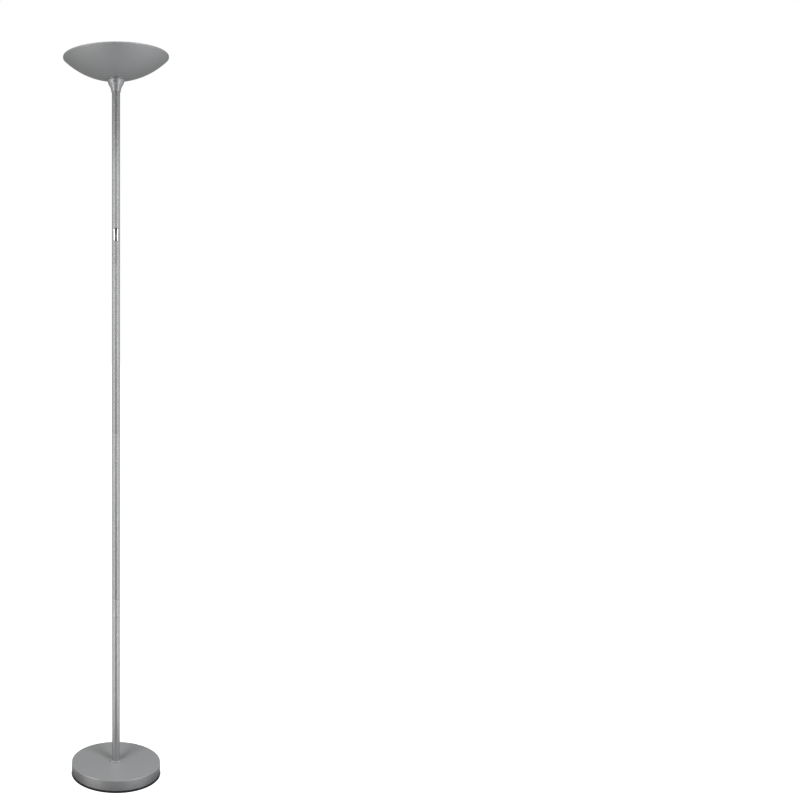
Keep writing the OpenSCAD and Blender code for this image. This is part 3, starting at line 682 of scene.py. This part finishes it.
FINISHES = {
    "silver_paint": ("Silver Paint", silver_paint),
    "inside_paint": ("White Paint", inside_paint),
    "black_plate": ("Black Paint", painted, (0.02, 0.02, 0.022), 0.45, 0.05, 0.0, 0.08),
    "chrome": ("Chrome Plating", plated, (0.80, 0.81, 0.82), 0.08, 0.08, 0.015),
    "zinc": ("Zinc Plating", plated, (0.58, 0.60, 0.62), 0.34, 0.6, 0.08),
    "brass": ("Bare Brass", plated, (0.70, 0.50, 0.20), 0.28, 0.5, 0.08),
    "aluminium": ("Mill Aluminium", plated, (0.76, 0.77, 0.78), 0.38, 0.8, 0.06, 90.0),
    "black_plastic": ("Black Plastic", black_plastic),
    "white_plastic": ("White Plastic", moulded, (0.80, 0.79, 0.77), 0.38),
    "rubber": ("Black Rubber", moulded, (0.022, 0.022, 0.023), 0.62, 700.0, 0.2),
    "cast_iron": ("Raw Casting", moulded, (0.075, 0.075, 0.08), 0.7, 420.0, 0.5, 0.2, 0.6),
    "phosphor": ("Phosphor", moulded, (0.85, 0.66, 0.14), 0.35, 2500.0, 0.1, 0.1),
    "felt": ("Black Felt", felt),
    "opal": ("Opal Acrylic", opal),
    "blue_wire": ("Blue Insulation", moulded, (0.02, 0.09, 0.42), *INSULATION),
    "brown_wire": ("Brown Insulation", moulded, (0.12, 0.045, 0.02), *INSULATION),
    "red_wire": ("Red Insulation", moulded, (0.45, 0.02, 0.02), *INSULATION),
}


def finish(slot):
    """The finish of a material slot, made the first time that it is asked for."""
    name, make, *values = FINISHES[slot]
    return bpy.data.materials.get(name) or make(name, *values)


# ---- pieces

class LAMP_OT_foot_cover(bpy.types.Operator):
    """Build the painted foot cover with its rounded top edge, and the collar round the pole"""
    bl_idname = "lamp.foot_cover"
    bl_label = "Foot Cover and Collar"

    def execute(self, context):
        edge = context.scene.lamp_shape.foot_edge
        bottom, top = heights("foot_cover")
        wall, roll = mm(1.0, 1.1)
        profile = [(NIPPLE_HOLE_R, top - wall), (NIPPLE_HOLE_R, top), (0.5 * FOOT_R, top)]
        profile += arc((FOOT_R - edge, top - edge), edge, 90, 0, 8)
        profile += [(FOOT_R, top - 0.5 * (top - bottom))]
        profile += arc((FOOT_R - roll, bottom + roll), roll, 0, -180, 12)
        profile += [(FOOT_R - wall, bottom + 2.5 * roll), (FOOT_R - wall, top - edge)]
        profile += arc((FOOT_R - edge, top - edge), edge - wall, 0, 90, 5)
        cover = lathe("foot_cover_shell", profile, 256, loop=True)
        smooth(cover, 40)
        hand_over(cover, "silver_paint", "foot_cover")

        bottom, top = heights("foot_collar")
        radius, edge, step = high("foot_collar").x, 0.8 * MM, 0.3 * MM
        seat_r, seat_z = POLE_R + 0.1 * MM, low("pole_tube_1").z
        profile = [(NIPPLE_HOLE_R, bottom), (radius - step, bottom), (radius, bottom + step)]
        profile += arc((radius - edge, top - edge), edge, 0, 90, 8)
        profile += [(seat_r + step, top), (seat_r, top - step), (seat_r, seat_z), (NIPPLE_HOLE_R, seat_z)]
        collar = lathe("foot_collar_ring", profile, 96, loop=True)
        smooth(collar, 35)
        hand_over(collar, "silver_paint", "foot_collar")
        return {"FINISHED"}


class LAMP_OT_foot_underside(bpy.types.Operator):
    """Build the black plate under the foot, its felt pads and its three cross-head screws"""
    bl_idname = "lamp.foot_underside"
    bl_label = "Foot Underside"

    def execute(self, context):
        bottom, top = heights("foot_bottom_plate")
        radius, edge, margin = high("foot_bottom_plate").x, 0.35 * MM, 12 * MM
        screw_circle, screw_count = 70 * MM, 3
        recess_r, recess_t = mm(3.3, 1.2)
        flange_top, spigot_r = low("foot_cover").z, FOOT_R - 2.4 * MM
        profile = [(0.2 * radius, bottom), (radius - margin, bottom)]
        profile += arc((radius - edge, bottom + edge), edge, -90, 0, 4)
        profile += arc((radius - edge, flange_top - edge), edge, 0, 90, 4)
        profile += [(spigot_r, flange_top), (spigot_r, top), (0.2 * radius, top)]
        plate = lathe("foot_bottom_plate_disc", profile, 192)
        for i in range(screw_count):
            turn = 2 * pi * i / screw_count
            spot = Vector((screw_circle * cos(turn), screw_circle * sin(turn), bottom))
            sink = rod("screw_recess", recess_r, spot - Vector((0, 0, MM)), spot + Vector((0, 0, recess_t)))
            combine(plate, sink)
        smooth(plate, 30)
        hand_over(plate, "black_plate", "foot_bottom_plate")

        pad_top, pad_r, edge = high("foot_pads").z, 9 * MM, 0.2 * MM
        pad = lathe("felt_pads", rounded(0.4 * pad_r, pad_r, 0.0, pad_top, edge, 4), 64)
        smooth(pad, 40)
        pad.location.x = FOOT_R - 15.5 * MM
        settle(pad)
        pads = ring_of(pad, 6, start=30)
        hand_over(pads, "felt", "foot_pads")

        head_r, head_z, head_t, shank_r = 3.15 * MM, bottom + 0.02 * MM, 1.05 * MM, 1.6 * MM
        slot_w, slot_l, slot_t = mm(0.85, 3.6, 0.7)
        head = rod("bottom_screws", head_r, (0, 0, head_z), (0, 0, head_z + head_t), 64)
        soften(head, 0.3 * MM, 3)
        for size in ((slot_l, slot_w), (slot_w, slot_l)):
            corner = Vector((size[0] / 2, size[1] / 2, 0))
            cross = block("screw_cross", Vector((0, 0, head_z - MM)) - corner,
                          Vector((0, 0, head_z + slot_t)) + corner)
            combine(head, cross)
        shank = rod("screw_shank", shank_r, (0, 0, head_z + head_t), (0, 0, high("bottom_plate_screws").z))
        screw = join("bottom_screws", [head, shank])
        smooth(screw, 30)
        screw.location.x = screw_circle
        settle(screw)
        screws = ring_of(screw, screw_count)
        hand_over(screws, "zinc", "bottom_plate_screws")
        return {"FINISHED"}


class LAMP_OT_cord_grommet(bpy.types.Operator):
    """Build the rubber grommet that lets a mains lead into the back of the foot"""
    bl_idname = "lamp.cord_grommet"
    bl_label = "Cord Grommet"

    def execute(self, context):
        lowest, highest = low("cord_grommet"), high("cord_grommet")
        bore, neck, flange, inner_flange = mm(3.2, 4.65, 6.2, 5.6)
        outer_t, inner_t, edge = mm(1.55, 1.6, 0.5)
        length = highest.y - lowest.y
        ease, dome = mm(0.4, 0.9)
        profile = [(bore, ease), (bore + ease, 0.0)]
        profile += arc((flange - dome, dome), dome, -90, 0, 6) + [(flange, outer_t), (neck, outer_t)]
        profile += [(neck, length - inner_t), (inner_flange, length - inner_t)]
        profile += arc((inner_flange - edge, length - edge), edge, 0, 90, 4) + [(bore, length)]
        grommet = lathe("inlet_grommet", profile, 64, loop=True)
        grommet.rotation_euler = (pi / 2, 0, 0)
        grommet.location = (0, highest.y, (lowest.z + highest.z) / 2)
        settle(grommet)
        smooth(grommet, 35)
        hand_over(grommet, "rubber", "cord_grommet")
        return {"FINISHED"}


class LAMP_OT_pole(bpy.types.Operator):
    """Build the four pole tubes with their fine joint lines, and cut the switch opening"""
    bl_idname = "lamp.pole"
    bl_label = "Pole Tubes"

    def execute(self, context):
        bore_r, ease = POLE_R - 1.0 * MM, 0.12 * MM
        for number in range(1, 5):
            node = f"pole_tube_{number}"
            profile = rounded(bore_r, POLE_R, *heights(node), ease)
            tube = lathe(f"pole_length_{number}", profile, 96, loop=True)
            if number == 4:
                half_w, half_h = mm(6.05, 15.3)
                z = ROCKER_PIVOT.z
                combine(tube, block("switch_opening", (-half_w, -2 * POLE_R, z - half_h),
                                    (half_w, 0, z + half_h)))
            smooth(tube, 35)
            hand_over(tube, "silver_paint", node)
        return {"FINISHED"}


class LAMP_OT_switch(bpy.types.Operator):
    """Build the black switch housing and the chrome rocker in its rest position"""
    bl_idname = "lamp.switch"
    bl_label = "Rocker Switch"

    def execute(self, context):
        pivot = ROCKER_PIVOT
        lowest, highest = low("switch_housing"), high("switch_housing")
        half_w, rim_r = highest.x, POLE_R + 0.45 * MM
        rocker_half_w, end_r = mm(5.3, 14.7)
        gap, back, floor_y = mm(0.15, 3.9, 2.6)
        trunnion_r, trunnion_reach = mm(1.2, 5.85)

        housing = rod("rocker_housing", rim_r, (0, 0, lowest.z), (0, 0, highest.z), 192)
        bisect(housing, *to_sides(half_w), ((0, 1, 0), (0, back, 0)))
        soften(housing, 0.2 * MM, 3, 40)
        cavity_half_w = rocker_half_w + gap
        cavity = rod("rocker_cavity", end_r + gap, (-cavity_half_w, pivot.y, pivot.z),
                     (cavity_half_w, pivot.y, pivot.z), 160)
        bisect(cavity, ((0, 1, 0), (0, floor_y, 0)))
        combine(housing, cavity)
        seat_r = trunnion_r + 0.05 * MM
        combine(housing, rod("trunnion_holes", seat_r, (-2 * half_w, pivot.y, pivot.z),
                             (2 * half_w, pivot.y, pivot.z)))
        tag_half_w, tag_half_t = mm(1.45, 0.45)
        for rise in (0, 6 * MM):
            z = pivot.z + rise
            combine(housing, block("tag_slot", (-tag_half_w, floor_y - MM, z - tag_half_t),
                                   (tag_half_w, 2 * back, z + tag_half_t)))
        smooth(housing, 30)
        hand_over(housing, "black_plastic", "switch_housing")

        face, crown_r, rear, slope = 4.3 * MM, 9 * MM, 2.0 * MM, abs(REST_TILT)
        top = rod("rocker_face", crown_r, (0, 0, -2 * end_r), (0, 0, 2 * end_r), 320)
        top.location.y = crown_r - face * cos(slope)
        settle(top)
        top.rotation_euler.x = slope
        settle(top)
        bisect(top, ((0, 0, -1), (0, 0, 0)), *to_sides(rocker_half_w), ((0, 1, 0), (0, rear, 0)))
        ends = rod("rocker_ends", end_r, (-2 * rocker_half_w, 0, 0), (2 * rocker_half_w, 0, 0), 256)
        combine(top, ends, "INTERSECT")
        weld = 0.01 * MM
        modify(top, "MIRROR", use_axis=(False, False, True), merge_threshold=weld)
        bpy.ops.object.mode_set(mode="EDIT")
        merge(weld)
        soften(top, context.scene.lamp_shape.rocker_edge, 4, 40)
        trunnions = rod("rocker_trunnions", trunnion_r, (-trunnion_reach, 0, 0), (trunnion_reach, 0, 0))
        rocker = join("chrome_rocker", [top, trunnions])
        bore_r, bore_front = mm(1.45, -2.6)
        combine(rocker, rod("plunger_bore", bore_r, (0, bore_front, 0), (0, 2 * end_r, 0)))
        rocker.rotation_euler.x = REST_TILT
        rocker.location = pivot
        settle(rocker)
        smooth(rocker, 25)
        hand_over(rocker, "chrome", "switch_rocker", body="rocker")
        return {"FINISHED"}


class LAMP_OT_neck(bpy.types.Operator):
    """Build the bell-shaped neck and the gasket above it"""
    bl_idname = "lamp.neck"
    bl_label = "Neck"

    def execute(self, context):
        bottom, top = heights("neck_cup")
        height, lip = top - bottom, context.scene.lamp_shape.neck_lip
        wall, boss_r, floor, seat = mm(2.0, 7.5, 9.5, 5.3)
        seat_r, ease = POLE_R + 0.1 * MM, 0.3 * MM
        flare = [(21.9 * MM, height), mm(20.6, 26.6), mm(20.0, 24.9), mm(19.65, 22.7)]
        shoulder = [flare[3], mm(19.3, 20.5), mm(17.9, 18.0), mm(16.0, 15.1)]
        waist = [shoulder[3], mm(13.9, 11.8), mm(11.9, 6.8), (11.6 * MM, lip)]
        skin = bezier(flare) + bezier(shoulder) + bezier(waist)
        outline = [(flare[0][0] - ease, height), (flare[0][0], height - ease)] + skin[1:]
        outline += arc((waist[3][0] - lip, lip), lip, 0, -90, 5)[1:]
        outline += [(seat_r, 0.0), (seat_r, seat), (NIPPLE_HOLE_R, seat), (NIPPLE_HOLE_R, height),
                    (boss_r, height), (boss_r, floor)]
        hollow = [(r - wall, z) for r, z in skin if floor < z < height - MM]
        outline += [(hollow[-1][0], floor)] + hollow[::-1] + [(flare[0][0] - wall, height)]
        neck = lathe("bell_neck", [(r, bottom + z) for r, z in outline], 160, loop=True)
        smooth(neck, 35)
        hand_over(neck, "silver_paint", "neck_cup")

        largest = high("neck_gasket")
        profile = rounded(NIPPLE_HOLE_R, largest.x, low("neck_gasket").z, largest.z, ease)
        gasket = lathe("bowl_gasket", profile, 128, loop=True)
        smooth(gasket, 35)
        hand_over(gasket, "rubber", "neck_gasket")
        return {"FINISHED"}


class LAMP_OT_bowl(bpy.types.Operator):
    """Build the spun bowl: seat step, round wall, hemmed rim, silver outside and white inside"""
    bl_idname = "lamp.bowl"
    bl_label = "Bowl"

    def execute(self, context):
        hem_t = context.scene.lamp_shape.rim_hem
        hem_r = hem_t / 2
        seat_bottom = low("shade_bowl").z
        wall, seat_r, ease = mm(1.0, 22.3, 0.3)

        def wall_arc(radius, *reaches):
            """The wall of the bowl at a radius of the sphere, from one distance from the pole to another."""
            start, end = (degrees(atan2(r, (radius ** 2 - r ** 2) ** 0.5)) - 90 for r in reaches)
            return arc((0.0, BOWL_BOTTOM + BOWL_SPHERE_R), radius, start, end, 48)

        inner_r, band_inner = BOWL_SPHERE_R - wall, BOWL_R - hem_t
        profile = [(NIPPLE_HOLE_R, seat_bottom), (seat_r - ease, seat_bottom), (seat_r, seat_bottom + ease)]
        profile += wall_arc(BOWL_SPHERE_R, seat_r, BOWL_R)
        profile += arc((BOWL_R - hem_r, RIM_Z - hem_r), hem_r, 0, 180, 10)
        profile += wall_arc(inner_r, band_inner, NIPPLE_HOLE_R)
        bowl = lathe("spun_bowl", profile, 256, loop=True)
        smooth(bowl, 35)
        hand_over(bowl, "silver_paint", "shade_bowl")
        bowl.data.materials.append(finish("inside_paint"))
        for face in bowl.data.polygons:
            inward = face.normal.z > 0.05 and hypot(face.center.x, face.center.y) < band_inner + hem_r
            face.material_index = 1 if inward and face.center.z > BOWL_BOTTOM + wall / 2 else 0
        return {"FINISHED"}


class LAMP_OT_diffuser(bpy.types.Operator):
    """Build the opal diffuser and the white ring that holds it"""
    bl_idname = "lamp.diffuser"
    bl_label = "Diffuser and Ring"

    def execute(self, context):
        (bottom, top), radius = heights("diffuser"), high("diffuser").x
        edge = 0.6 * MM
        middle, waist = 0.1 * radius, 0.6 * radius
        profile = [(middle, bottom), (waist, bottom)] + arc((radius - edge, bottom + edge), edge, -90, 0, 4)
        profile += arc((radius - edge, top - edge), edge, 0, 90, 6) + [(waist, top), (middle, top)]
        disc = lathe("opal_diffuser", profile, 256)
        smooth(disc, 35)
        hand_over(disc, "opal", "diffuser")

        ring_bottom, ring_top = heights("diffuser_ring")
        lip_r, seat_r, edge = 106 * MM, radius + 0.2 * MM, 0.4 * MM
        outer_top = high("diffuser_ring").x
        centre_z, follow_r = BOWL_BOTTOM + BOWL_SPHERE_R, BOWL_SPHERE_R - 1.3 * MM

        def at_wall(z):
            """How far out the ring reaches at a height, following the bowl's wall."""
            return (follow_r ** 2 - (centre_z - z) ** 2) ** 0.5

        profile = [(lip_r, ring_bottom), (at_wall(ring_bottom), ring_bottom)]
        profile += [(at_wall(z), z) for z in (ring_bottom + 1.5 * MM, ring_bottom + 3 * MM)]
        profile += [(outer_top - edge, ring_top - edge * 0.4), (outer_top - 2 * edge, ring_top)]
        profile += [(seat_r + edge, ring_top), (seat_r, ring_top - edge), (seat_r, bottom), (lip_r, bottom)]
        ring = lathe("diffuser_holder", profile, 256, loop=True)
        smooth(ring, 35)
        hand_over(ring, "white_plastic", "diffuser_ring")
        return {"FINISHED"}


class LAMP_OT_inner_finishes(bpy.types.Operator):
    """Give the carried-over inner pieces their finishes"""
    bl_idname = "lamp.inner_finishes"
    bl_label = "Inner Finishes"

    def execute(self, context):
        slots = {entry["node"]: entry["material_slot"] for entry in frame["record"]["subparts"]}
        for node, piece in frame["nodes"].items():
            for entry in piece.material_slots:
                entry.material = finish(slots[node])
        return {"FINISHED"}


# ---- studio

def softbox(name, turn, away, height, aim_height, size, power, colour):
    """A rectangular light, turned round the lamp by degrees from the front, unseen by the camera."""
    turn = radians(turn)
    place, aim = Vector((away * sin(turn), -away * cos(turn), height)), Vector((0, 0, aim_height))
    data = bpy.data.lights.new(name, "AREA")
    data.shape, data.size, data.size_y = "RECTANGLE", size[0], size[1]
    data.energy, data.color = power, colour
    light = bpy.data.objects.new(name, data)
    bpy.context.scene.collection.objects.link(light)
    light.location = place
    light.rotation_euler = (aim - place).to_track_quat("-Z", "Y").to_euler()
    light.visible_camera = False
    return light


def ambient_world(name, studio):
    """Light from all round, stronger from the sides and below, dim from low on the camera's side."""
    world = bpy.data.worlds.new(name)
    world.use_nodes = True
    board = Board(world.node_tree)
    surround = world.node_tree.nodes["Background"]
    surround.inputs["Color"].default_value = WHITE
    direction = board.add("ShaderNodeTexCoord").outputs["Generated"]
    split = board.add("ShaderNodeSeparateXYZ", {0: direction}).outputs
    overhead = board.spread(split["Z"], 0.0, 1.0, studio.surround, studio.surround * studio.overhead)
    below = board.spread(split["Z"], -0.1, -0.7, 1.0, studio.floor_bounce)
    toward = board.spread(split["Y"], -0.25, -0.65)
    sideways = board.spread(board.math("ABSOLUTE", split["X"]), 0.25, 0.8, 1.0, 0.0)
    left = board.spread(split["X"], -0.4, -0.9, 1.0, studio.left_lift)
    right = board.spread(split["X"], 0.3, 0.9, 1.0, studio.right_lift)
    behind = board.spread(split["Y"], 0.3, 0.85, 1.0, studio.back_shade)
    under = board.spread(split["Z"], 0.35, -0.1)
    front = board.spread(board.times(toward, sideways, under), 0.0, 1.0, 1.0, studio.front_shade)
    level = board.times(overhead, below, behind, left, right, front)
    camera_ray = board.add("ShaderNodeLightPath").outputs["Is Camera Ray"]
    level = board.add("ShaderNodeMix", {0: camera_ray, 2: level, 3: studio.backdrop}).outputs[0]
    board.tree.links.new(level, surround.inputs["Strength"])
    return world


class LAMP_OT_studio(bpy.types.Operator):
    """Set up the glowing floor with a painted contact shadow round the foot, the black card in front of the foot,
    the lights and the camera
    """
    bl_idname = "lamp.studio"
    bl_label = "Studio"

    def execute(self, context):
        studio = context.scene.lamp_studio
        material, b, shader = new_material("Studio Floor", Specular_IOR_Level=0.1,
                                           Emission_Strength=studio.floor_glow)
        # Painted contact shadow: the floor's colour and emission go dark in a ring round the foot. The ring's
        # centre is shifted towards the camera by the shadow's width, so it reaches furthest in front, and a faint
        # noise breaks it up.
        forward = b.add("ShaderNodeVectorMath", {0: b.place(), 1: (0, studio.contact_shadow, 0)}).outputs[0]
        outward = b.add("ShaderNodeVectorMath", {0: forward}, operation="LENGTH").outputs["Value"]
        painted_shadow_level = b.spread(outward, FOOT_R, FOOT_R + studio.contact_shadow)
        shade = b.times(painted_shadow_level, b.spread(b.noise(b.place(), 0.8, 2.0, 0.5), 0.3, 0.7, 0.99, 1.0))
        b.tree.links.new(b.grey(shade), shader.inputs["Emission Color"])
        wire(b, shader, b.shaded(colour4(studio.floor_colour), shade))
        deselect_all()
        bpy.ops.mesh.primitive_circle_add(vertices=96, radius=30, fill_type="NGON")
        floor = named("studio_floor")
        floor.data.materials.append(material)
        floor.visible_glossy = floor.visible_diffuse = floor.visible_shadow = False
        card_r, card_forward, card_depth = 0.2, 0.14, MM
        bpy.ops.mesh.primitive_circle_add(vertices=96, radius=card_r, fill_type="NGON",
                                          location=(0, -card_forward, -card_depth))
        card = named("studio_card")
        card.data.materials.append(moulded("Black Card", (0.01, 0.01, 0.01), 0.9))
        card.visible_camera = card.visible_shadow = False
        context.scene.world = ambient_world("Studio Ambient", studio)
        context.scene.view_settings.view_transform = "Standard"

        warm, cool = (1.0, 0.98, 0.955), (0.955, 0.98, 1.0)
        strip_away, strip_z, strip_h = 2.2, 0.2, 4.8
        key_away, key_z, key_aim_z, key_size = 2.6, 6.2, 0.5, 1.2
        for side, colour, strip_turn, strip_w, key_turn in (
                ("left", warm, -56, 0.68, -34), ("right", cool, 50, 0.62, 36)):
            strip = softbox(f"{side}_strip", strip_turn, strip_away, strip_z, strip_z, (strip_w, strip_h),
                            studio.strip_power * strip_w, colour)
            strip.visible_diffuse = False
            key = softbox(f"{side}_key", key_turn, key_away, key_z, key_aim_z, (key_size, key_size),
                          studio.key_power, colour)
            key.visible_glossy = False

        data = bpy.data.cameras.new("studio_camera")
        data.sensor_width, data.lens, data.shift_x = 36.0, studio.camera_lens, studio.camera_shift
        camera = bpy.data.objects.new("studio_camera", data)
        context.scene.collection.objects.link(camera)
        camera.location = (0, -studio.camera_distance, studio.camera_height)
        camera.rotation_euler = (pi / 2 - studio.camera_pitch, 0, 0)
        context.scene.camera = camera
        return {"FINISHED"}


BUILD_STEPS = (
    LAMP_OT_foot_cover, LAMP_OT_foot_underside, LAMP_OT_cord_grommet, LAMP_OT_pole, LAMP_OT_switch,
    LAMP_OT_neck, LAMP_OT_bowl, LAMP_OT_diffuser, LAMP_OT_inner_finishes, LAMP_OT_studio,
)


class LAMP_PT_build(bpy.types.Panel):
    """Lists the build steps and their settings"""
    bl_idname = "LAMP_PT_build"
    bl_label = "Torchiere Floor Lamp"
    bl_space_type = "VIEW_3D"
    bl_region_type = "UI"
    bl_category = "Lamp"

    def draw(self, context):
        for settings in (context.scene.lamp_shape, context.scene.lamp_paint, context.scene.lamp_studio):
            box = self.layout.box()
            for key in type(settings).__annotations__:
                box.prop(settings, key)
        for step in BUILD_STEPS:
            self.layout.operator(step.bl_idname)


CLASSES = (LampPaintSettings, LampShapeSettings, StudioSettings) + BUILD_STEPS + (LAMP_PT_build,)


def register():
    """Registers the classes and the scene's settings."""
    for entry in CLASSES:
        bpy.utils.register_class(entry)
    bpy.types.Scene.lamp_paint = bpy.props.PointerProperty(type=LampPaintSettings)
    bpy.types.Scene.lamp_shape = bpy.props.PointerProperty(type=LampShapeSettings)
    bpy.types.Scene.lamp_studio = bpy.props.PointerProperty(type=StudioSettings)


def unregister():
    """Removes what register added."""
    del bpy.types.Scene.lamp_studio, bpy.types.Scene.lamp_shape, bpy.types.Scene.lamp_paint
    for entry in reversed(CLASSES):
        bpy.utils.unregister_class(entry)


def main():
    """Builds every piece and the studio."""
    register()
    for step in BUILD_STEPS:
        area, name = step.bl_idname.split(".")
        getattr(getattr(bpy.ops, area), name)()
    deselect_all()


if __name__ == "__main__":
    main()
